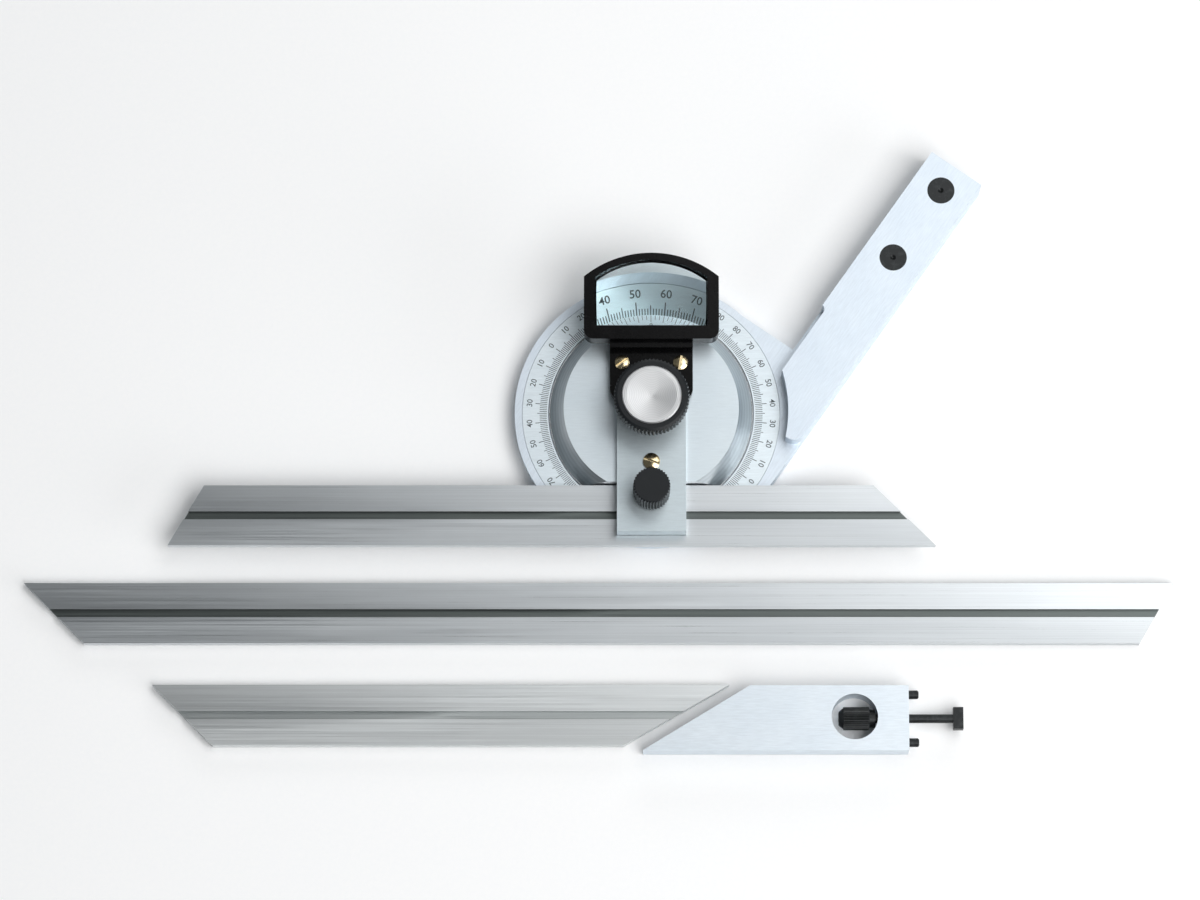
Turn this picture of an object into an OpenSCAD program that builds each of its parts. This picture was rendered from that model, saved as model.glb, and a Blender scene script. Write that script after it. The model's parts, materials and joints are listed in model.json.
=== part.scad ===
// Universal bevel protractor with magnifier, laid out on its back with its spare blades.
// +X runs along the blades, +Y across them, +Z up from the table. The origin is on the dial's
// pivot axis, at the level of the body's flat back. Dimensions are in millimetres.

/* [Stock and body] */
// Direction of the stock from +X, in degrees
stock_angle = 55; // [45:1:130]
// Radius of the round body
body_r = 35.8; // [35.6:0.1:37]
// Thickness of the round body
body_t = 5; // [4.8:0.1:5.1]
// Distance from the pivot to the stock's far end
stock_len = 100; // [98:1:140]
// Thickness of the stock
stock_t = 10; // [9.5:0.5:12]
// Distance from the pivot to the stock's working edge
edge_n = 36.6; // [36.2:0.1:37]
// Distance from the pivot to the stock's inner edge
inner_n = 20.8; // [20:0.1:21]

/* [Dial] */
// Outer radius of the dial ring
dial_r = 33.75; // [32:0.25:34.5]
// Inner radius of the dial ring
dial_in_r = 27; // [26.5:0.1:27.5]
// Thickness of the dial ring
dial_t = 1; // [0.6:0.1:1.4]

/* [Turntable] */
// Radius of the turntable's top edge
table_top_r = 22.9; // [22.5:0.1:24]
// Height of the turntable's top face
table_z = 11; // [10.5:0.1:11.5]
// Distance from the pivot to the flat that the blade lies beside
table_flat_y = 19.8; // [18:0.1:19.9]
// Half angle of the vernier plate, in degrees
vernier_half = 26; // [20:1:30]

/* [Blades] */
// Width of every blade
blade_w = 16; // [14:0.5:16]
// Thickness of every blade
blade_t = 2.5; // [2:0.1:2.5]
// Width of the groove along every blade
groove_w = 2.1; // [1.8:0.1:2.4]
// Depth of the groove
groove_d = 1.2; // [1:0.1:1.4]
// Length of the mounted blade
blade_len = 200; // [180:5:240]
// Length of the long spare blade
long_len = 300; // [250:10:320]
// Length of the short spare blade
short_len = 150; // [140:5:150]

/* [Bridge and blade clamp] */
// Half width of the bridge plate
bridge_x = 9; // [8.8:0.1:10]
// Thickness of the bridge plate where it lies on the turntable
bridge_t = 2; // [1.5:0.1:2]
// Distance from the pivot to the blade clamp's axis
clamp_y = 23.3; // [23:0.1:24]
// Radius of the blade clamp's knurled knob
small_knob_r = 4.8; // [4.4:0.1:5.2]

/* [Magnifier] */
// Half width of the magnifier's frame
lens_frame_x = 17.6; // [16:0.2:19]
// Distance from the pivot to the crown of the frame
lens_crown_y = 39.4; // [37:0.2:40]
// Height of the underside of the frame
lens_frame_z = 15.5; // [15.5:0.5:17]
// Thickness of the frame
lens_frame_t = 5; // [4:0.5:6]

/* [Clamp knob] */
// Radius of the knurled clamp knob
knob_r = 9.8; // [9.4:0.1:11]
// Height of the knob's knurled part
knob_h = 5; // [4:0.5:6]
// Number of grooves in the knob's knurl
knob_teeth = 60; // [40:2:72]

/* [Acute angle attachment] */
// Width of the attachment bar
bar_w = 17; // [16.5:0.5:18]
// Thickness of the attachment bar
bar_t = 6.5; // [6.5:0.5:9]
// Radius of the round window in the bar
window_r = 6; // [5.8:0.1:6]
// Spacing of the two locating pins
pin_pitch = 12.6; // [12:0.1:13]

/* [Hidden] */
$fn = 96;

gap = 0.3;                        // between pieces that move past each other
cut = 1;                          // how far a cutter runs past a face
past = 40;                        // size of a cutter that takes everything beyond a face
slip = 0.05;                      // radial play of a running fit
lap = 0.1;                        // overlap of two joined bodies

steel = [0.80, 0.82, 0.84];
satin = [0.72, 0.74, 0.77];
bridge_grey = [0.62, 0.66, 0.70];
black = [0.05, 0.05, 0.06];
black_oxide = [0.12, 0.12, 0.13];
brass = [0.80, 0.62, 0.28];
glass = [0.85, 0.92, 0.95, 0.4];

// Stock, in its own frame: X along the stock, Y away from the working edge
stock_start = 14;                 // where the raised stock begins at the working edge
web_len = 35.5;                   // reach of the web that joins the disc to the stock
step_u = 47.5;                    // where the inner edge steps out to its full width
step_n = 1.3;                     // size of that step, and radius of its scallop
plug_r = 3.6;
plug_n = (edge_n + inner_n) / 2;  // distance of both plugs from the pivot, across the stock
outer_plug_u = stock_len - 7.4;
inner_plug_u = outer_plug_u - 22.4;
plug_t = 3;                       // thickness of a plug
dimple_d = 0.6;                   // depth of the dimple in a plug's face
dimple_r = 0.75;
stock_corner = 3;                 // corner of the stock at its near end
back_bevel = 2.5;                 // bevel round the back of the body
cavity_r = 3.3;
cavity_z = 0.8;                   // floor of the cavity that the T-bolt's head turns in
bolt_z = 3.25;                    // height of the T-bolt's axis in the stock and in the bar
slot_w = 6.3;
slot_h = 3.2;
pin_r = 1.15;
pin_hole = 4;                     // depth of the two pin holes in the stock's end

// Pivot
stud_r = 4;
stud_flange_r = 8;
stud_flange_t = 1.5;
stud_thread_r = 3;
stud_top = 23.6;
dial_z = body_t - dial_t;         // seat of the dial ring
dial_line = 0.1;                  // width of the fine line round the dial ring
recess_z = body_t - 2;            // floor of the turntable's recess
table_floor = recess_z + gap;
blade_z = body_t + 0.4;           // underside of the mounted blade
ledge_z = blade_z - gap;          // top of the turntable's flange
flange_r = dial_in_r - gap;
cone_r = flange_r - lap;          // foot of the turntable's cone

// Mounted blade
blade_top_y = -table_flat_y - gap;
groove_off = (blade_w - groove_w) / 2;      // from a blade's upper edge to its groove
undercut = 0.4;                   // how far the groove's floor is cut back under its upper edge
blade_x = -126;                   // left ends and upper edges of the blades
long_x = -163.7;
long_y = -45;
short_x = -129.8;
short_y = -72;

// Bridge
bridge_top = table_z + bridge_t;
bridge_up_y = 15;
bridge_low_y = 33.4;
pad_bore_r = 2.2;
bridge_screw_y = -14.9;
screw_thread_r = 1.3;
bridge_head_r = 2.2;
bridge_head_h = 1;
bridge_shank_l = 6;
bracket_screw_x = 7.6;
bracket_screw_y = 11;
bracket_head_r = 1.9;
bracket_head_h = 0.9;
bracket_shank_r = 0.9;
bracket_shank_l = 4.3;
foot_t = 2.5;                     // thickness of the magnifier's foot

// Vernier plate
vernier_in_r = 20;
vernier_floor = table_z - 3.5;
vernier_screw_angle = 21;
vernier_screw_r = vernier_in_r + 1.4;       // distance of its screws from the pivot
vernier_shank_r = 0.6;
vernier_head_r = 1.1;
vernier_head_t = 0.6;

// Magnifier
crown_arc_y = 12;                 // centre of the crown's arc
lens_low_y = 16.2;                // lower edge of the frame
lens_seat_t = 1;                  // thickness of the lip that the lens sits on

// Knob stack
washer_t = 0.8;
washer_r = 6;
washer_in_r = stud_thread_r + 0.7;
washer_slit = 0.6;
hub_r = 6.2;
hub_z = bridge_top + 2 * washer_t + gap;
knurl_z = 20;
knob_top = knurl_z + knob_h;
insert_r = 4.4;
cap_r = 7.7;
cap_z = knob_top - 1;

// Blade clamp
small_knob_z = bridge_top + 0.8;
small_knob_top = 22.5;
pad_z = blade_z + blade_t + 0.4;
pad_r = 1.7;
small_insert_r = 2.9;
small_hole = 6;                   // depth of the hole in the blade clamp's knob

// Attachment
bar_left = -2.3;                  // tip of the bar
bar_right = 66.5;
bar_slope = 31.5;                 // angle of the bar's slanted end
bar_top_y = -72.9;
bar_mid_y = bar_top_y - bar_w / 2 + 0.3;    // axis of the T-bolt, a little above the middle
window_x = 52.5;
pin_depth = 5;                    // length of a pin inside the bar
pin_out = 2.4;                    // length outside it, up to its chamfer
bolt_r = 1.15;
bolt_bore_r = bolt_r + slip;
bolt_tip = 80.7;
head_t = 2.6;
head_w = 5.7;
nut_r = 3;
nut_left = 48.4;
nut_neck = 56.3;
nut_floor = nut_left + 1;         // end of the nut's blind thread
neck_r = 2.35;
nut_play = 0.2;                   // between the nut's end and the window's wall
nut_right = window_x + sqrt(pow(window_r, 2) - pow(neck_r, 2)) - nut_play;
bolt_travel = 7.5;                // how far the nut draws the T-bolt in

module rotated_stock() {
    rotate([0, 0, stock_angle]) children();
}

// A round rod along +X from x0 to x1
module rod_x(x0, x1, r) {
    translate([x0, 0, 0])
        rotate([0, 90, 0])
            cylinder(h = x1 - x0, r = r);
}

// A ring between two radii and two heights
module ring(r_in, r_out, z0, z1) {
    translate([0, 0, z0])
        difference() {
            cylinder(h = z1 - z0, r = r_out);
            translate([0, 0, -cut]) cylinder(h = z1 - z0 + 2 * cut, r = r_in);
        }
}

// V grooves around a knob, cut along its axis
module knurl(r, z0, z1, teeth, depth) {
    half = r * tan(150 / teeth);  // leaves a sixth of the pitch between two grooves
    for (i = [0 : teeth - 1])
        rotate([0, 0, i * 360 / teeth])
            translate([r, 0, z0])
                linear_extrude(height = z1 - z0)
                    polygon([[-depth, 0], [0.5 * depth, -1.5 * half], [0.5 * depth, 1.5 * half]]);
}

// A slotted screw with a domed head standing on z = 0
module slotted_screw(head_r, head_h, shank_r, shank_l, slit_angle) {
    drop = head_h / 2;            // how far the dome falls from its crown to its rim
    dome_r = (pow(head_r, 2) + pow(drop, 2)) / (2 * drop);
    slit_w = 0.56;
    slit_d = 0.7;
    difference() {
        union() {
            intersection() {
                cylinder(h = head_h, r = head_r);
                translate([0, 0, head_h - dome_r]) sphere(r = dome_r);
            }
            translate([0, 0, -shank_l]) cylinder(h = shank_l + lap, r = shank_r);
        }
        rotate([0, 0, slit_angle])
            translate([-head_r - cut, -slit_w / 2, head_h - slit_d])
                cube([2 * (head_r + cut), slit_w, head_h]);
    }
}

// The stock and the round body in one plate, with the dial's and the turntable's recesses
module stock_plate() {
    cylinder(h = back_bevel, r1 = body_r - back_bevel, r2 = body_r);
    translate([0, 0, back_bevel]) cylinder(h = body_t - back_bevel, r = body_r);
    translate([0, -edge_n, 0]) cube([web_len, edge_n, body_t]);
    translate([web_len - 1, -edge_n, 0]) cube([stock_len - web_len + 1, edge_n - inner_n, body_t]);
}

module stock_raised() {
    narrow = inner_n + step_n;
    corner = stock_corner;
    translate([0, 0, body_t - 1])
        linear_extrude(height = stock_t - body_t + 1)
            difference() {
                union() {
                    translate([stock_start + corner, -edge_n]) square([step_u, edge_n - narrow]);
                    translate([stock_start, -edge_n + corner])
                        square([step_u, edge_n - narrow - corner]);
                    translate([stock_start + corner, -edge_n + corner]) circle(r = corner);
                    translate([step_u, -edge_n]) square([stock_len - step_u, edge_n - inner_n]);
                }
                circle(r = body_r + slip);
                translate([step_u, -inner_n]) circle(r = step_n);
            }
}

// The cavity under a plug, where the T-bolt's head turns, with its slot and two pin holes
module bolt_cavity() {
    translate([outer_plug_u, -plug_n, cavity_z]) cylinder(h = stock_t, r = cavity_r);
    translate([outer_plug_u, -plug_n, stock_t - plug_t]) cylinder(h = stock_t, r = plug_r);
    translate([outer_plug_u, -plug_n - slot_w / 2, bolt_z - slot_h / 2])
        cube([stock_len, slot_w, slot_h]);
    for (side = [-1, 1])
        translate([0, -plug_n + side * pin_pitch / 2, bolt_z])
            rod_x(stock_len - pin_hole, stock_len + cut, pin_r + slip);
}

module stock_body() {
    color(satin)
        rotated_stock()
            difference() {
                union() {
                    stock_plate();
                    stock_raised();
                }
                translate([0, 0, dial_z]) cylinder(h = body_t, r = dial_r + dial_line);
                translate([0, 0, recess_z]) cylinder(h = body_t, r = dial_in_r);
                translate([0, 0, -cut]) cylinder(h = body_t + 2 * cut, r = stud_r);
                translate([0, 0, -cut]) cylinder(h = stud_flange_t + cut, r = stud_flange_r);
                bolt_cavity();
                translate([inner_plug_u, -plug_n, stock_t - plug_t])
                    cylinder(h = stock_t, r = plug_r);
            }
}

module dial_ring() {
    color(satin) ring(dial_in_r, dial_r, dial_z, body_t);
}

module pivot_stud() {
    color(steel) {
        cylinder(h = stud_flange_t, r = stud_flange_r);
        translate([0, 0, 1]) cylinder(h = bridge_top - 1, r = stud_r);
        translate([0, 0, bridge_top - 1]) cylinder(h = stud_top - bridge_top + 1, r = stud_thread_r);
    }
}

module plug(u) {
    color(black_oxide)
        rotated_stock()
            translate([u, -plug_n, stock_t - plug_t])
                difference() {
                    cylinder(h = plug_t, r = plug_r);
                    translate([0, 0, plug_t - dimple_d])
                        cylinder(h = 2 * dimple_d, r1 = 0, r2 = 2 * dimple_r);
                }
}

module outer_plug() {
    plug(outer_plug_u);
}

module inner_plug() {
    plug(inner_plug_u);
}

// The sector that the vernier plate fills, between its inner radius and the flange
module vernier_sector(r_in, r_out, z0, z1, half) {
    rotate([0, 0, 90 - half])
        rotate_extrude(angle = 2 * half)
            translate([r_in, z0]) square([r_out - r_in, z1 - z0]);
}

// The places of the vernier plate's two screws
module at_vernier_screws() {
    for (side = [-1, 1])
        rotate([0, 0, side * vernier_screw_angle])
            translate([0, vernier_screw_r, 0]) children();
}

module turntable() {
    color(steel)
        difference() {
            union() {
                translate([0, 0, table_floor])
                    cylinder(h = ledge_z - table_floor, r = flange_r);
                difference() {
                    translate([0, 0, ledge_z - lap])
                        cylinder(h = table_z - ledge_z + lap, r1 = cone_r, r2 = table_top_r);
                    translate([-past, -table_flat_y - past, ledge_z]) cube([2 * past, past, past]);
                }
            }
            translate([0, 0, -cut]) cylinder(h = past, r = stud_r + slip);
            vernier_sector(vernier_in_r, past, vernier_floor, past, vernier_half);
            translate([0, bridge_screw_y, table_floor + cut])
                cylinder(h = past, r = screw_thread_r);
            at_vernier_screws()
                translate([0, 0, table_floor + cut]) cylinder(h = past, r = vernier_shank_r);
        }
}

// A wedge with a slanted face for the vernier lines, on two small screws
module vernier_plate() {
    slope_z = vernier_floor + 1;  // outer end of the slanted face
    land_r = vernier_in_r + 2.8;  // inner end of the slanted face
    color(satin)
        difference() {
            rotate([0, 0, 90 - vernier_half])
                rotate_extrude(angle = 2 * vernier_half)
                    polygon([
                        [vernier_in_r, vernier_floor], [flange_r, vernier_floor],
                        [flange_r, slope_z], [land_r, table_z], [vernier_in_r, table_z]
                    ]);
            at_vernier_screws() {
                cylinder(h = past, r = vernier_shank_r);
                translate([0, 0, table_z - vernier_head_t]) cylinder(h = past, r = vernier_head_r);
            }
        }
}

module vernier_screws() {
    shank = 4;
    slit = 0.3;
    slit_floor = 0.35;
    color(steel)
        at_vernier_screws()
            translate([0, 0, table_z - vernier_head_t])
                difference() {
                    union() {
                        cylinder(h = vernier_head_t, r = vernier_head_r);
                        translate([0, 0, -shank]) cylinder(h = shank + lap, r = vernier_shank_r);
                    }
                    rotate([0, 0, 30])
                        translate([-vernier_head_r - cut, -slit / 2, slit_floor])
                            cube([2 * (vernier_head_r + cut), slit, cut]);
                }
}

// The plate that carries the magnifier and holds the blade by a rib in its groove
module bridge_plate() {
    rib_y = blade_top_y - groove_off - groove_w + gap;
    blade_top = blade_z + blade_t;
    rib_z = blade_top - groove_d + gap;
    color(bridge_grey)
        difference() {
            union() {
                translate([-bridge_x, -bridge_low_y, table_z])
                    cube([2 * bridge_x, bridge_low_y + bridge_up_y, bridge_t]);
                translate([-bridge_x, -bridge_low_y, blade_top + gap])
                    cube([2 * bridge_x, bridge_low_y - table_flat_y - lap, table_z - blade_top]);
                translate([-bridge_x, rib_y, rib_z])
                    cube([2 * bridge_x, groove_w - 2 * gap, groove_d]);
            }
            translate([0, 0, table_z - cut]) cylinder(h = past, r = stud_r + slip);
            translate([0, bridge_screw_y, table_z - cut]) cylinder(h = past, r = screw_thread_r);
            translate([0, -clamp_y, 0]) cylinder(h = past, r = pad_bore_r);
            for (side = [-1, 1])
                translate([side * bracket_screw_x, bracket_screw_y, table_z - cut])
                    cylinder(h = past, r = bracket_shank_r);
        }
}

module bridge_screw() {
    color(brass)
        translate([0, bridge_screw_y, bridge_top])
            slotted_screw(bridge_head_r, bridge_head_h, screw_thread_r, bridge_shank_l, -20);
}

module spring_washer() {
    color(steel)
        translate([0, 0, bridge_top])
            difference() {
                cylinder(h = washer_t, r = washer_r);
                translate([0, 0, -cut]) cylinder(h = washer_t + 2 * cut, r = washer_in_r);
                translate([0, -washer_slit / 2, -cut])
                    cube([washer_r + cut, washer_slit, washer_t + 2 * cut]);
            }
}

module knob_washer() {
    color(steel) ring(washer_in_r, washer_r, bridge_top + washer_t, bridge_top + 2 * washer_t);
}

module clamp_knob() {
    edge = 0.5;                   // height of the bevels round the knurled part
    top_bevel = 0.9;
    tooth = 0.4;
    color(black)
        difference() {
            union() {
                translate([0, 0, hub_z]) cylinder(h = knurl_z - hub_z + 1, r = hub_r);
                translate([0, 0, knurl_z]) cylinder(h = edge, r1 = knob_r - edge, r2 = knob_r);
                translate([0, 0, knurl_z + edge]) cylinder(h = knob_h - 2 * edge, r = knob_r);
                translate([0, 0, knob_top - edge])
                    cylinder(h = edge, r1 = knob_r, r2 = knob_r - top_bevel);
            }
            knurl(knob_r, knurl_z - cut, knob_top + cut, knob_teeth, tooth);
            translate([0, 0, hub_z - cut]) cylinder(h = past, r = insert_r);
            translate([0, 0, cap_z]) cylinder(h = past, r = cap_r + 2 * slip);
        }
}

module knob_insert() {
    color(brass) ring(stud_thread_r + gap, insert_r, hub_z, cap_z);
}

// A turned disc with a shallow conical face
module knob_cap() {
    cap_t = 1.5;
    edge = 0.3;                   // chamfer round the rim
    lip = 1.2;                    // width of the rim round the dished face
    dish = 0.4;                   // how far the face falls to its centre
    color(steel)
        translate([0, 0, cap_z])
            rotate_extrude()
                polygon([
                    [0, 0], [cap_r, 0], [cap_r, cap_t - edge], [cap_r - edge, cap_t],
                    [cap_r - lip, cap_t], [0, cap_t - dish]
                ]);
}

// The magnifier frame's outline in plan
module lens_outline() {
    corner = 2.5;
    x = lens_frame_x;
    intersection() {
        translate([0, crown_arc_y]) circle(r = lens_crown_y - crown_arc_y);
        union() {
            translate([-x, lens_low_y + corner]) square([2 * x, past]);
            translate([-x + corner, lens_low_y]) square([2 * (x - corner), corner + 1]);
            for (side = [-1, 1])
                translate([side * (x - corner), lens_low_y + corner]) circle(r = corner);
        }
    }
}

// The opening in the frame, whose lower bar is wider than its sides
module lens_window(grow) {
    side_bar = 3;
    top_bar = 1.9;
    low_bar = 3.6;
    half = lens_frame_x - side_bar + grow;
    intersection() {
        translate([0, crown_arc_y]) circle(r = lens_crown_y - crown_arc_y - top_bar + grow);
        translate([-half, lens_low_y + low_bar - grow]) square([2 * half, past]);
    }
}

module magnifier_frame() {
    foot_low = 1;
    foot_x = 10.8;
    foot_corner = 3;
    wall_y = 14.4;                // lower face of the wall between the foot and the frame
    wall_top_y = 17.6;            // its upper face
    wall_bite = 3;                // how far the wall reaches up into the frame
    lip = 0.6;                    // width of the lip that the lens sits on
    color(black)
        difference() {
            union() {
                translate([0, 0, lens_frame_z])
                    linear_extrude(height = lens_frame_t) lens_outline();
                translate([0, 0, bridge_top])
                    linear_extrude(height = foot_t) {
                        translate([-foot_x, foot_low + foot_corner])
                            square([2 * foot_x, wall_y + 1 - foot_low - foot_corner]);
                        translate([-foot_x + foot_corner, foot_low])
                            square([2 * (foot_x - foot_corner), 2 * foot_corner]);
                        for (side = [-1, 1])
                            translate([side * (foot_x - foot_corner), foot_low + foot_corner])
                                circle(r = foot_corner);
                    }
                translate([-foot_x, wall_y, bridge_top])
                    cube([2 * foot_x, wall_top_y - wall_y, lens_frame_z + wall_bite - bridge_top]);
            }
            translate([0, 0, bridge_top - cut]) cylinder(h = past, r = hub_r + gap);
            for (side = [-1, 1])
                translate([side * bracket_screw_x, bracket_screw_y, bridge_top - cut])
                    cylinder(h = past, r = bracket_shank_r);
            translate([0, 0, lens_frame_z - cut]) linear_extrude(height = past) lens_window(-lip);
            translate([0, 0, lens_frame_z + lens_seat_t])
                linear_extrude(height = past) lens_window(0);
        }
}

// Plano-convex: flat underneath on the frame's lip, with a spherical top
module magnifier_lens() {
    sphere_r = 34;
    centre_y = 28;
    crown_t = 4.9;                // thickness of the lens at its crown
    seat_z = lens_frame_z + lens_seat_t;
    color(glass)
        intersection() {
            translate([0, 0, seat_z]) linear_extrude(height = 2 * crown_t) lens_window(-slip);
            translate([0, centre_y, seat_z + crown_t - sphere_r]) sphere(r = sphere_r);
        }
}

module bracket_screw(side, slit_angle) {
    color(brass)
        translate([side * bracket_screw_x, bracket_screw_y, bridge_top + foot_t])
            slotted_screw(
                bracket_head_r, bracket_head_h, bracket_shank_r, bracket_shank_l, slit_angle
            );
}

module bracket_screw_left() {
    bracket_screw(-1, 35);
}

module bracket_screw_right() {
    bracket_screw(1, 80);
}

module blade_knob() {
    low = small_knob_z;
    chamfer = 0.4;
    teeth = 36;
    tooth = 0.35;
    color(black)
        translate([0, -clamp_y, 0])
            difference() {
                union() {
                    translate([0, 0, low])
                        cylinder(h = chamfer, r1 = small_knob_r - chamfer, r2 = small_knob_r);
                    translate([0, 0, low + chamfer])
                        cylinder(h = small_knob_top - low - 2 * chamfer, r = small_knob_r);
                    translate([0, 0, small_knob_top - chamfer])
                        cylinder(h = chamfer, r1 = small_knob_r, r2 = small_knob_r - chamfer);
                }
                knurl(small_knob_r, low - cut, small_knob_top + cut, teeth, tooth);
                translate([0, 0, low - cut]) cylinder(h = small_hole + cut, r = small_insert_r);
            }
}

module blade_knob_insert() {
    color(brass)
        translate([0, -clamp_y, 0])
            ring(pad_r + gap, small_insert_r, bridge_top + gap, small_knob_z + small_hole);
}

// The screw that the blade knob drives down, with its pad above the blade
module clamp_pad() {
    color(steel)
        translate([0, -clamp_y, pad_z])
            cylinder(h = small_knob_z + small_hole - 1 - pad_z, r = pad_r);
}

// A blade lying with its upper edge along +X from the origin, left and right ends in degrees.
// A negative end shortens the lower edge, and a positive end shortens the upper edge.
module blade(length, left, right, z) {
    lean_l = blade_w / tan(left);
    lean_r = blade_w / tan(right);
    points = left > 0
        ? [[0, -blade_w], [lean_l, 0], [length - lean_r, 0], [length, -blade_w]]
        : [[-lean_l, -blade_w], [0, 0], [length, 0], [length + lean_r, -blade_w]];
    groove_z = blade_t - groove_d;
    wall = 0.5;                   // height of the groove's sloped foot
    color(steel)
        translate([0, 0, z])
            difference() {
                linear_extrude(height = blade_t) polygon(points);
                translate([-cut, 0, 0])
                    rotate([90, 0, 90])
                        linear_extrude(height = length + 2 * cut)
                            polygon([
                                [-groove_off, blade_t + cut], [-groove_off, groove_z + wall],
                                [-groove_off + undercut, groove_z], [-groove_off - groove_w, groove_z],
                                [-groove_off - groove_w, blade_t + cut]
                            ]);
            }
}

module blade_200() {
    translate([blade_x, blade_top_y, 0]) blade(blade_len, 60, 45, blade_z);
}

module blade_300() {
    translate([long_x, long_y, 0]) blade(long_len, -45, -60, 0);
}

module blade_150() {
    translate([short_x, short_y, 0]) blade(short_len, -45, -30, 0);
}

module attachment_bar() {
    color(satin)
        difference() {
            translate([0, bar_top_y, 0])
                linear_extrude(height = bar_t)
                    polygon([
                        [bar_right, 0], [bar_right, -bar_w],
                        [bar_left, -bar_w], [bar_left + bar_w / tan(bar_slope), 0]
                    ]);
            translate([window_x, bar_mid_y, -cut]) cylinder(h = bar_t + 2 * cut, r = window_r);
            translate([0, bar_mid_y, bolt_z]) rod_x(window_x, bar_right + cut, bolt_bore_r);
            for (side = [-1, 1])
                translate([0, bar_mid_y + side * pin_pitch / 2, bolt_z])
                    rod_x(bar_right - pin_depth, bar_right + cut, pin_r);
        }
}

module locating_pin(side) {
    chamfer = 0.3;
    color(black_oxide)
        translate([0, bar_mid_y + side * pin_pitch / 2, bolt_z]) {
            rod_x(bar_right - pin_depth, bar_right + pin_out, pin_r);
            translate([bar_right + pin_out, 0, 0])
                rotate([0, 90, 0]) cylinder(h = chamfer, r1 = pin_r, r2 = pin_r - chamfer);
        }
}

module upper_pin() {
    locating_pin(1);
}

module lower_pin() {
    locating_pin(-1);
}

module t_bolt() {
    color(black_oxide)
        translate([0, bar_mid_y, bolt_z]) {
            rod_x(nut_floor + bolt_travel + lap, bolt_tip - head_t + lap, bolt_r);
            translate([bolt_tip - head_t, -head_w / 2, -head_t / 2]) cube([head_t, head_w, head_t]);
        }
}

module knurled_nut() {
    dome = 1.2;                   // length and width of the cone at the nut's closed end
    tooth = 0.25;
    teeth = 28;
    color(black_oxide)
        translate([0, bar_mid_y, bolt_z])
            difference() {
                union() {
                    difference() {
                        rod_x(nut_left + dome, nut_neck, nut_r);
                        rotate([0, 90, 0]) knurl(nut_r, nut_left, nut_right, teeth, tooth);
                    }
                    translate([nut_left, 0, 0])
                        rotate([0, 90, 0])
                            cylinder(h = dome, r1 = nut_r - dome, r2 = nut_r - tooth);
                    rod_x(nut_neck - lap, nut_right, neck_r);
                }
                rod_x(nut_floor, nut_right + cut, bolt_bore_r);
            }
}

stock_body();
dial_ring();
pivot_stud();
outer_plug();
inner_plug();
turntable();
vernier_plate();
vernier_screws();
bridge_plate();
bridge_screw();
spring_washer();
knob_washer();
clamp_knob();
knob_insert();
knob_cap();
magnifier_frame();
magnifier_lens();
bracket_screw_left();
bracket_screw_right();
blade_knob();
blade_knob_insert();
clamp_pad();
blade_200();
blade_300();
blade_150();
attachment_bar();
upper_pin();
lower_pin();
t_bolt();
knurled_nut();
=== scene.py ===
"""Universal bevel protractor with its spare blades and acute-angle attachment, laid out on a pale table."""

import json
import math

import bmesh
import bpy
from mathutils import Matrix, Vector


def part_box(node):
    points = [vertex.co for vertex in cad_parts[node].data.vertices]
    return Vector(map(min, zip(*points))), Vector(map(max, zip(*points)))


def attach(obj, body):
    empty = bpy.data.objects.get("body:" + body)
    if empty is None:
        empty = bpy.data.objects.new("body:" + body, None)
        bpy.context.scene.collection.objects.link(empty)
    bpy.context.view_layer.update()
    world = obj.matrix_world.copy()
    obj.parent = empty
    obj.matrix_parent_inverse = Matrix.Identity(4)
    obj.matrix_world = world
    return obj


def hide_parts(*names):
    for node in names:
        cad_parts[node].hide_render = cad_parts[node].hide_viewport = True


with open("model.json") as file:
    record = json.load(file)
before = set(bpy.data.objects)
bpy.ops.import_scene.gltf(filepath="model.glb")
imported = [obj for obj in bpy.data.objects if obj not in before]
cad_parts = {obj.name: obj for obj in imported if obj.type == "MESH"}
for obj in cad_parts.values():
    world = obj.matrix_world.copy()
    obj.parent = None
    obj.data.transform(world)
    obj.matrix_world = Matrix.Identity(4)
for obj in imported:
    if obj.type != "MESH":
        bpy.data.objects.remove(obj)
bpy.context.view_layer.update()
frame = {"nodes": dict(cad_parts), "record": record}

MM = 0.001
NOISE_LOW, NOISE_HIGH = 0.3, 0.7     # nearly all of a noise texture's values lie between these
nodes = frame["nodes"]


# ---------------------------------------------------------------- shader helpers


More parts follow.
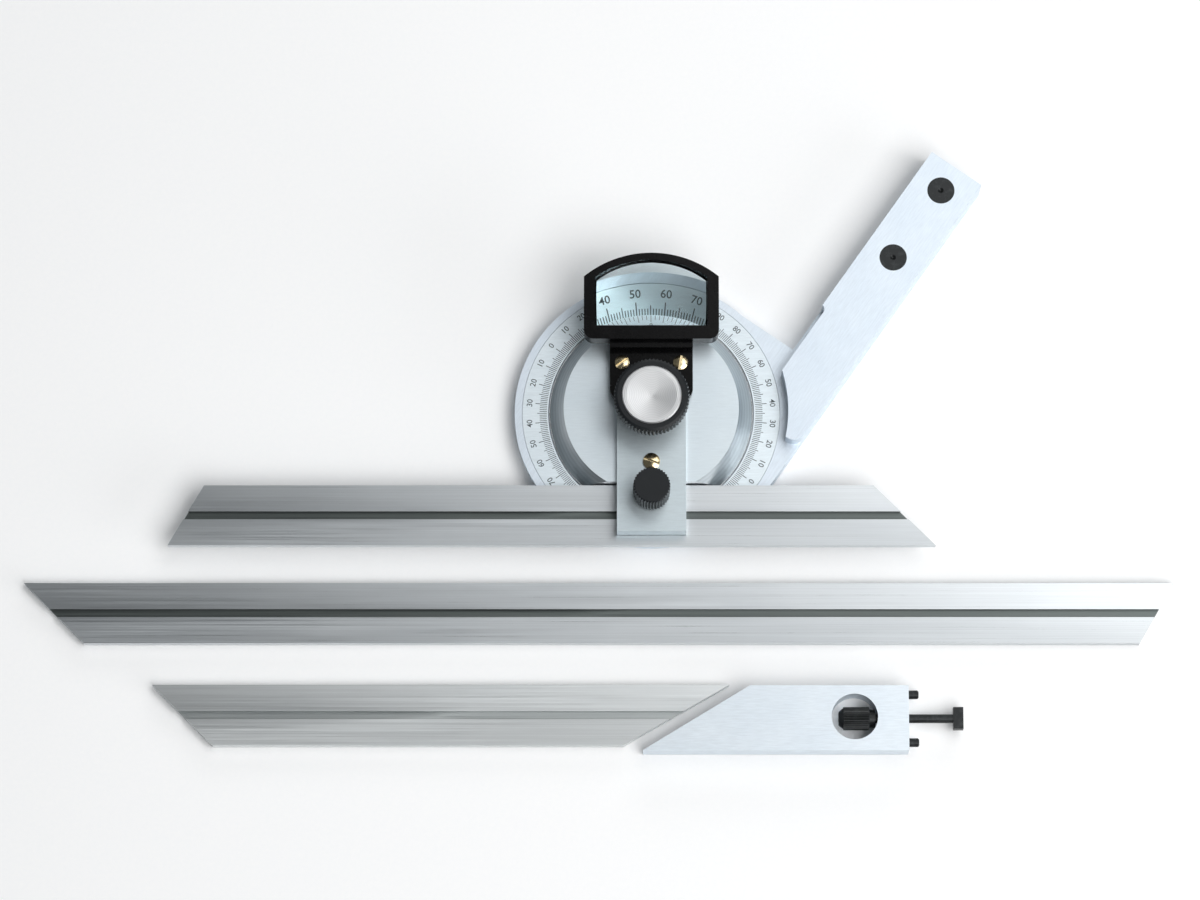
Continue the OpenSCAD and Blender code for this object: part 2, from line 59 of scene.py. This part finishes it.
class Shader:
    """A material under construction: its node tree, its Principled BSDF and short ways to add nodes."""

    def __init__(self, name, color, metallic, roughness):
        self.mat = bpy.data.materials.new(name)
        self.mat.use_nodes = True
        self.tree = self.mat.node_tree
        self.bsdf = self.tree.nodes["Principled BSDF"]
        self.bsdf.inputs["Base Color"].default_value = (*color, 1)
        self.bsdf.inputs["Metallic"].default_value = metallic
        self.bsdf.inputs["Roughness"].default_value = roughness
        self.coords = self.tree.nodes.new("ShaderNodeTexCoord")

    def node(self, kind, **settings):
        made = self.tree.nodes.new(kind)
        for key, value in settings.items():
            setattr(made, key, value)
        return made

    def link(self, out, into):
        self.tree.links.new(out, into)

    def placed(self, scale, angle=0.0):
        """Object coordinates turned back by an angle about Z, then scaled."""
        turned = self.node("ShaderNodeMapping")
        turned.inputs["Rotation"].default_value = (0, 0, -angle)
        self.link(self.coords.outputs["Object"], turned.inputs["Vector"])
        scaled = self.node("ShaderNodeMapping")
        scaled.inputs["Scale"].default_value = scale
        self.link(turned.outputs["Vector"], scaled.inputs["Vector"])
        return scaled.outputs["Vector"]

    def noise(self, vector, detail, roughness):
        made = self.node("ShaderNodeTexNoise")
        made.inputs["Scale"].default_value = 1.0
        made.inputs["Detail"].default_value = detail
        made.inputs["Roughness"].default_value = roughness
        self.link(vector, made.inputs["Vector"])
        return made.outputs["Fac"]

    def spread(self, value, low, high):
        made = self.node("ShaderNodeMapRange")
        made.inputs["From Min"].default_value = NOISE_LOW
        made.inputs["From Max"].default_value = NOISE_HIGH
        made.inputs["To Min"].default_value = low
        made.inputs["To Max"].default_value = high
        self.link(value, made.inputs["Value"])
        return made.outputs["Result"]

    def ramp(self, value, low_color, high_color, low=NOISE_LOW, high=NOISE_HIGH):
        made = self.node("ShaderNodeValToRGB")
        made.color_ramp.elements[0].position = low
        made.color_ramp.elements[0].color = (*low_color, 1)
        made.color_ramp.elements[1].position = high
        made.color_ramp.elements[1].color = (*high_color, 1)
        self.link(value, made.inputs["Fac"])
        return made.outputs["Color"]

    def multiply(self, a, b):
        made = self.node("ShaderNodeMix", data_type="RGBA", blend_type="MULTIPLY")
        made.inputs["Factor"].default_value = 1
        self.link(a, made.inputs["A"])
        self.link(b, made.inputs["B"])
        return made.outputs["Result"]

    def bump(self, height, strength, distance):
        made = self.node("ShaderNodeBump")
        made.inputs["Strength"].default_value = strength
        made.inputs["Distance"].default_value = distance
        self.link(height, made.inputs["Height"])
        self.link(made.outputs["Normal"], self.bsdf.inputs["Normal"])

    def color(self, value):
        self.link(value, self.bsdf.inputs["Base Color"])

    def rough(self, value):
        self.link(value, self.bsdf.inputs["Roughness"])


def scaled_color(color, factor):
    return tuple(min(1.0, c * factor) for c in color)


def brushed(name, color, roughness, contrast=0.1):
    """Metal ground along X: long fine lines, broad streaks and faint stains."""
    s = Shader(name, color, 1.0, roughness)
    lines = s.noise(s.placed((16, 4200, 1400)), 6, 0.7)
    streaks = s.noise(s.placed((9, 240, 60)), 3, 0.5)
    stains = s.noise(s.placed((30, 60, 30)), 3, 0.5)
    tone = s.ramp(lines, scaled_color(color, 1 - contrast), scaled_color(color, 1 + contrast))
    streaked = s.multiply(tone, s.ramp(streaks, (0.96, 0.96, 0.96), (1, 1, 1)))
    s.color(s.multiply(streaked, s.ramp(stains, (0.95, 0.955, 0.96), (1, 1, 1))))
    s.rough(s.spread(lines, roughness - 0.07, roughness + 0.1))
    s.bump(lines, 0.25, 0.00002)
    s.bsdf.inputs["Anisotropic"].default_value = 0.45
    return s.mat


def satin(name, color, roughness, angle=0.0, contrast=0.05):
    """Fine satin metal: a short grain with faint clouds, as left by a wheel or by blasting."""
    s = Shader(name, color, 1.0, roughness)
    grain = s.noise(s.placed((3200, 3200, 3200), angle), 3, 0.6)
    drawn = s.noise(s.placed((300, 2400, 900), angle), 4, 0.6)
    clouds = s.noise(s.placed((90, 90, 90), angle), 3, 0.5)
    tone = s.ramp(drawn, scaled_color(color, 1 - contrast), scaled_color(color, 1 + contrast))
    s.color(s.multiply(tone, s.ramp(clouds, (0.95, 0.96, 0.97), (1, 1, 1))))
    s.rough(s.spread(grain, roughness - 0.05, roughness + 0.08))
    s.bump(grain, 0.18, 0.00002)
    return s.mat


def turned(name, color, roughness, ring_scale=450.0, anisotropic=0.75, depth=0.000012):
    """Lathe-turned metal: fine rings about Z that fan the light out."""
    s = Shader(name, color, 1.0, roughness)
    wave = s.node("ShaderNodeTexWave", wave_type="RINGS", rings_direction="Z")
    wave.inputs["Scale"].default_value = ring_scale
    wave.inputs["Distortion"].default_value = 1.2
    wave.inputs["Detail"].default_value = 2
    s.link(s.placed((1, 1, 0)), wave.inputs["Vector"])
    clouds = s.noise(s.placed((140, 140, 140)), 4, 0.6)
    tone = s.ramp(wave.outputs["Fac"], scaled_color(color, 0.9), color, 0.2, 0.8)
    s.color(s.multiply(tone, s.ramp(clouds, (0.94, 0.95, 0.96), (1, 1, 1))))
    s.rough(s.spread(clouds, roughness - 0.04, roughness + 0.07))
    s.bump(wave.outputs["Fac"], 0.3, depth)
    s.bsdf.inputs["Anisotropic"].default_value = anisotropic
    tangent = s.node("ShaderNodeTangent", direction_type="RADIAL", axis="Z")
    s.link(tangent.outputs["Tangent"], s.bsdf.inputs["Tangent"])
    return s.mat


def moulding(name, color, roughness, specular, coat, grain_scale, grain_depth):
    """Black plastic: moulded grain, dust that dulls it in patches, and a coat where it is glossy."""
    s = Shader(name, color, 0.0, roughness)
    grain = s.noise(s.placed((grain_scale,) * 3), 3, 0.6)
    dust = s.noise(s.placed((420, 420, 420)), 6, 0.75)
    s.color(s.ramp(dust, color, tuple(c + 0.006 for c in color), 0.55, 0.85))
    s.rough(s.spread(dust, roughness - 0.06, roughness + 0.16))
    s.bump(grain, 0.35, grain_depth)
    s.bsdf.inputs["Coat Weight"].default_value = coat
    s.bsdf.inputs["Coat Roughness"].default_value = 0.1
    s.bsdf.inputs["Specular IOR Level"].default_value = specular
    return s.mat


def oxide(name, color):
    """Black-oxide steel: dark, slightly oily, worn a little brighter in spots."""
    s = Shader(name, color, 0.6, 0.38)
    wear = s.noise(s.placed((600, 600, 600)), 5, 0.7)
    grain = s.noise(s.placed((2500, 2500, 2500)), 2, 0.5)
    s.color(s.ramp(wear, color, tuple(c * 2.6 for c in color), 0.5, 0.8))
    s.rough(s.spread(wear, 0.3, 0.48))
    s.bump(grain, 0.3, 0.00002)
    return s.mat


def polished_brass(name):
    """Polished brass with fingered, slightly tarnished patches."""
    color = (0.82, 0.68, 0.42)
    s = Shader(name, color, 1.0, 0.18)
    tarnish = s.noise(s.placed((700, 700, 700)), 5, 0.65)
    s.color(s.ramp(tarnish, scaled_color(color, 0.72), scaled_color(color, 1.12)))
    s.rough(s.spread(tarnish, 0.14, 0.3))
    s.bump(tarnish, 0.15, 0.00003)
    return s.mat


def lens_glass(name):
    """Polished dense glass, faintly blue, with the slightest smears on it."""
    s = Shader(name, (0.93, 0.98, 0.99), 0.0, 0.01)
    smears = s.noise(s.placed((160, 160, 160)), 4, 0.6)
    s.color(s.ramp(smears, (0.86, 0.96, 0.97), (0.90, 0.98, 0.99)))
    s.rough(s.spread(smears, 0.0, 0.004))
    s.bsdf.inputs["Transmission Weight"].default_value = 1
    s.bsdf.inputs["IOR"].default_value = 1.74
    s.bsdf.inputs["Specular Tint"].default_value = (0.06, 0.06, 0.06, 1)
    return s.mat


def paint(name, color):
    """Paint in the engraved lines and numbers: dark and matt, a little uneven."""
    s = Shader(name, color, 0.0, 0.6)
    patches = s.noise(s.placed((1500, 1500, 1500)), 3, 0.6)
    s.color(s.ramp(patches, color, tuple(c * 2.2 for c in color)))
    s.rough(s.spread(patches, 0.5, 0.7))
    return s.mat


STOCK_ANGLE = math.radians(55)
BLADES = ("blade_200", "blade_300", "blade_150")

materials = {
    "satin_steel": satin("satin_steel", (0.72, 0.79, 0.86), 0.48, STOCK_ANGLE),
    "dial_satin": satin("dial_satin", (0.76, 0.83, 0.87), 0.48),
    "turned_steel": turned("turned_steel", (0.72, 0.74, 0.76), 0.24),
    "turned_cap": turned("turned_cap", (0.70, 0.705, 0.71), 0.42, 700.0, 0.35, 0.000025),
    "bridge_steel": satin("bridge_steel", (0.58, 0.65, 0.68), 0.44, 0.0, 0.04),
    "blade_steel": brushed("blade_steel", (0.62, 0.65, 0.67), 0.33),
    "brass": polished_brass("brass"),
    "black_knob": moulding("black_knob", (0.010, 0.012, 0.014), 0.38, 0.25, 0.0, 2600, 0.00003),
    "black_gloss": moulding("black_gloss", (0.0012, 0.0012, 0.0015), 0.2, 0.1, 0.05, 700, 0.00005),
    "black_oxide": oxide("black_oxide", (0.02, 0.022, 0.023)),
    "lens_glass": lens_glass("lens_glass"),
}
table_top = satin("table_top", (0.68, 0.75, 0.79), 0.42, 0.0, 0.03)
cone_steel = turned("cone_steel", (0.70, 0.74, 0.76), 0.4, 450.0, 0.85)
# Painted shade: the two groove materials are darker copies of the blade steels, standing in for the shade
# that falls in the blades' grooves.
groove_painted_shade = brushed("groove_painted_shade", (0.15, 0.17, 0.165), 0.42, 0.2)
short_steel = brushed("short_steel", (0.70, 0.725, 0.73), 0.37)
short_groove_painted_shade = brushed("short_groove_painted_shade", (0.50, 0.53, 0.53), 0.4)
bar_steel = satin("bar_steel", (0.72, 0.78, 0.83), 0.42)
ink = paint("ink", (0.05, 0.06, 0.065))


def finish_faces(name, material, wanted):
    """Gives a second material to those faces of a node whose centre and normal are wanted: a finish of
    their own, or painted shade.
    """
    mesh = nodes[name].data
    mesh.materials.append(material)
    index = len(mesh.materials) - 1
    for face in mesh.polygons:
        if wanted(face.center / MM, face.normal):
            face.material_index = index


def dress_nodes():
    """Each CAD node takes the material of its slot, and some faces a finish of their own or painted shade.
    """
    slots = {sub["node"]: sub["material_slot"] for sub in frame["record"]["subparts"]}
    for name, node in nodes.items():
        node.data.materials.clear()
        node.data.materials.append(materials[slots[name]])
    nodes["attachment_bar"].data.materials[0] = bar_steel
    table_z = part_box("turntable")[1].z / MM
    finish_faces("turntable", table_top, lambda c, n: c.z > table_z - 0.1 and n.z > 0.9)
    finish_faces("turntable", cone_steel, lambda c, n: 0.1 < n.z < 0.9 and c.xy.length > 20)
    nodes["blade_150"].data.materials[0] = short_steel
    # Painted shade: the faces down in each blade's groove take a darker steel in place of the shade that
    # falls there.
    for blade in BLADES:
        low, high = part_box(blade)
        middle = (low.y + high.y) / 2 / MM
        surface = high.z / MM
        finish_faces(blade, short_groove_painted_shade if blade == "blade_150" else groove_painted_shade,
                     lambda c, n, y=middle, z=surface: abs(c.y - y) < 2 and z - 2 < c.z < z - 0.05)


def soften(name, width, angle=35, segments=2):
    """Rounds a node's edges a little, after flat faces are joined up."""
    node = nodes[name]
    flat = node.modifiers.new("flat_faces", "DECIMATE")
    flat.decimate_type = "DISSOLVE"
    flat.angle_limit = math.radians(0.5)
    flat.delimit = {"MATERIAL"}
    bevel = node.modifiers.new("soft_edges", "BEVEL")
    bevel.width = width * MM
    bevel.segments = segments
    bevel.limit_method = "ANGLE"
    bevel.angle_limit = math.radians(angle)


# ---------------------------------------------------------------- graduations


def mesh_object(name, bm, material, body):
    mesh = bpy.data.meshes.new(name)
    bm.to_mesh(mesh)
    bm.free()
    made = bpy.data.objects.new(name, mesh)
    bpy.context.scene.collection.objects.link(made)
    mesh.materials.append(material)
    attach(made, body)
    return made


def polar(radius, angle, z):
    return Vector((radius * math.cos(angle), radius * math.sin(angle), z)) * MM


def tick(bm, r0, r1, angle, width, z0, z1, thickness=0.03):
    """A thin raised line along a radius, from r0 at height z0 to r1 at height z1."""
    side = Vector((-math.sin(angle), math.cos(angle), 0)) * width / 2 * MM
    rise = Vector((0, 0, thickness)) * MM
    inner, outer = polar(r0, angle, z0), polar(r1, angle, z1)
    low = [bm.verts.new(p) for p in (inner - side, outer - side, outer + side, inner + side)]
    high = [bm.verts.new(v.co + rise) for v in low]
    bm.faces.new(low[::-1])
    bm.faces.new(high)
    for i in range(4):
        j = (i + 1) % 4
        bm.faces.new((low[i], low[j], high[j], high[i]))


def add_text(bm, words, height, place):
    """Puts words, centred, into a mesh: place turns the letters' own plane into the frame."""
    size_per_height = 1.4
    thickness = 0.02
    swelling = 0.02
    curve = bpy.data.curves.new("letters", "FONT")
    curve.body = words
    curve.size = height * size_per_height * MM
    curve.align_x = "CENTER"
    curve.align_y = "CENTER"
    curve.extrude = thickness / 2 * MM
    curve.resolution_u = 3
    curve.offset = swelling * MM
    letters = bpy.data.objects.new("letters", curve)
    bpy.context.scene.collection.objects.link(letters)
    bpy.context.view_layer.update()
    mesh = bpy.data.meshes.new_from_object(letters.evaluated_get(bpy.context.evaluated_depsgraph_get()))
    mesh.transform(place)
    bm.from_mesh(mesh)
    bpy.data.objects.remove(letters)
    bpy.data.curves.remove(curve)
    bpy.data.meshes.remove(mesh)


def on_circle(radius, angle, z):
    """Places letters flat at a point of the dial, with their tops outward."""
    return Matrix.Translation(polar(radius, angle, z)) @ Matrix.Rotation(angle - math.pi / 2, 4, "Z")


def dial_marks():
    """360 one-degree lines in four quarters, 0 to 90 and back, each ten degrees numbered."""
    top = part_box("dial_ring")[1].z / MM
    foot = top - 0.01
    inner_r = 27.35
    number_r = 31.9
    number_height = 1.5
    lengths = {10: 3.1, 5: 2.5, 1: 1.9}
    widths = {10: 0.2, 5: 0.17, 1: 0.17}
    lines = bmesh.new()
    numbers = bmesh.new()
    for degree in range(360):
        angle = STOCK_ANGLE + math.radians(degree)
        step = 10 if degree % 10 == 0 else 5 if degree % 5 == 0 else 1
        tick(lines, inner_r, inner_r + lengths[step], angle, widths[step], foot, foot)
        if step == 10:
            reading = abs(90 - degree % 180)
            add_text(numbers, str(reading), number_height, on_circle(number_r, angle, top + 0.005))
    bmesh.ops.dissolve_limit(numbers, angle_limit=0.01, verts=numbers.verts, edges=numbers.edges)
    mesh_object("dial_lines", lines, ink, "stock")
    mesh_object("dial_numbers", numbers, ink, "stock")


def vernier_marks():
    """Twelve five-minute lines each side of zero, over 23 degrees of the dial, on the slanted face."""
    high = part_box("vernier_plate")[1].z / MM
    land_r = 22.8
    foot_r, foot_z = 26.7, high - 2.5
    slope = (high - foot_z) / (foot_r - land_r)
    lean = Matrix.Rotation(-math.atan(slope), 4, "X")
    lift = 0.012
    spacing = math.radians(23 / 12)
    line_width = 0.11
    line_sink = 0.03
    outer_r = foot_r - 0.12
    number_r = 23.9
    number_height = 0.95

    def face_z(radius):
        return foot_z + (foot_r - radius) * slope + lift

    marks = bmesh.new()
    numbers = bmesh.new()
    for i in range(-12, 13):
        angle = math.pi / 2 - i * spacing
        inner_r = outer_r - (1.9 if i % 3 == 0 else 1.25)
        z0, z1 = face_z(inner_r) - line_sink, face_z(outer_r) - line_sink
        tick(marks, inner_r, outer_r, angle, line_width, z0, z1)
        if i % 6 == 0:
            place = on_circle(number_r, angle, face_z(number_r) + lift) @ lean
            add_text(numbers, str(abs(i) * 5), number_height, place)
    mesh_object("vernier_lines", marks, ink, "carrier")
    mesh_object("vernier_numbers", numbers, ink, "carrier")


def magnifier_glass():
    """The lens with a fine, true sphere on top: a flat foot, upright sides and a round crown."""
    low, high = (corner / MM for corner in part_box("magnifier_lens"))
    arc_y = 12                      # centre of the outline's rounded far side
    arc_r = high.y - arc_y
    sphere_y, sphere_r = 28, 34     # the crown's sphere
    centre_z = high.z - sphere_r
    half = high.x
    across, along = 72, 48          # faces of the crown's grid
    bm = bmesh.new()

    def grid(height):
        rows = []
        for i in range(across + 1):
            x = half * (2 * i / across - 1)
            y_top = arc_y + math.sqrt(arc_r ** 2 - x ** 2)
            ys = [low.y + (y_top - low.y) * j / along for j in range(along + 1)]
            rows.append([bm.verts.new(Vector((x, y, height(x, y))) * MM) for y in ys])
        return rows

    top = grid(lambda x, y: centre_z + math.sqrt(sphere_r ** 2 - x ** 2 - (y - sphere_y) ** 2))
    foot = grid(lambda x, y: low.z)
    for i in range(across):
        for j in range(along):
            crown = bm.faces.new((top[i][j], top[i + 1][j], top[i + 1][j + 1], top[i][j + 1]))
            crown.smooth = True
            bm.faces.new((foot[i][j], foot[i][j + 1], foot[i + 1][j + 1], foot[i + 1][j]))
    rim = [(i, 0) for i in range(across)] + [(across, j) for j in range(along)]
    rim += [(i, along) for i in range(across, 0, -1)] + [(0, j) for j in range(along, 0, -1)]
    for (i, j), (k, m) in zip(rim, rim[1:] + rim[:1]):
        bm.faces.new((foot[i][j], foot[k][m], top[k][m], top[i][j]))
        bm.edges.get((top[i][j], top[k][m])).smooth = False
    lens = mesh_object("lens", bm, materials["lens_glass"], "carrier")
    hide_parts("magnifier_lens")


# ---------------------------------------------------------------- stage, light and camera


def floor():
    """A pale seamless table."""
    bm = bmesh.new()
    half = 3.0
    z = -0.2 * MM
    corners = [(-half, -half), (half, -half), (half, half), (-half, half)]
    bm.faces.new([bm.verts.new((x, y, z)) for x, y in corners])
    mesh = bpy.data.meshes.new("floor")
    bm.to_mesh(mesh)
    bm.free()
    made = bpy.data.objects.new("floor", mesh)
    bpy.context.scene.collection.objects.link(made)
    s = Shader("floor_paper", (0.96, 0.96, 0.96), 0.0, 0.8)
    fibres = s.noise(s.placed((900, 900, 900)), 4, 0.6)
    s.color(s.ramp(fibres, (0.95, 0.955, 0.96), (0.97, 0.97, 0.97)))
    s.bump(fibres, 0.05, 0.00005)
    mesh.materials.append(s.mat)


def area_light(name, location, target, size, power, color=(1, 1, 1)):
    data = bpy.data.lights.new(name, "AREA")
    data.shape = "RECTANGLE"
    data.size, data.size_y = size
    data.energy = power
    data.color = color
    made = bpy.data.objects.new(name, data)
    bpy.context.scene.collection.objects.link(made)
    made.location = location
    aim = Vector(target) - Vector(location)
    made.rotation_euler = aim.to_track_quat("-Z", "Y").to_euler()


def lights():
    """A softbox over the right side, a large fill at the front right, and low panels for the edges."""
    world = bpy.data.worlds.new("studio")
    bpy.context.scene.world = world
    world.use_nodes = True
    background = world.node_tree.nodes["Background"]
    background.inputs["Color"].default_value = (0.92, 0.97, 1.0, 1)
    background.inputs["Strength"].default_value = 0.12
    area_light("softbox", (0.42, 0.36, 1.0), (0.05, 0, 0), (0.75, 0.7), 3.6)
    area_light("front_fill", (0.8, -0.7, 1.6), (0, 0, 0), (1.7, 1.3), 29)
    area_light("low_right", (1.25, -0.7, 0.42), (0, 0, 0), (1.0, 0.45), 6, (1, 0.99, 0.98))
    area_light("low_left", (-1.5, 0.75, 0.5), (0, 0, 0), (1.0, 0.5), 1.2, (0.96, 0.98, 1))
    area_light("low_back", (0.3, 1.6, 0.6), (0, 0, 0), (1.6, 0.5), 6, (0.97, 0.99, 1))
    bpy.context.scene.view_settings.view_transform = "Standard"


def camera():
    data = bpy.data.cameras.new("camera")
    made = bpy.data.objects.new("camera", data)
    bpy.context.scene.collection.objects.link(made)
    bpy.context.scene.camera = made
    elevation = math.radians(76.5)
    distance = 1.4
    frame_width = 0.3155
    target = Vector((-0.0134, -0.0087, 0))
    back = Vector((0, -math.cos(elevation), math.sin(elevation)))
    made.location = target + back * distance
    made.rotation_euler = (-back).to_track_quat("-Z", "Y").to_euler()
    data.sensor_width = 36
    data.lens = 36 * distance / frame_width
    data.clip_start = 0.05
    data.clip_end = 20


dress_nodes()
for blade in BLADES:
    soften(blade, 0.12)
for plate in ("bridge_plate", "attachment_bar", "stock_body"):
    soften(plate, 0.2)
soften("magnifier_frame", 0.7, angle=40, segments=3)
dial_marks()
vernier_marks()
magnifier_glass()
floor()
lights()
camera()
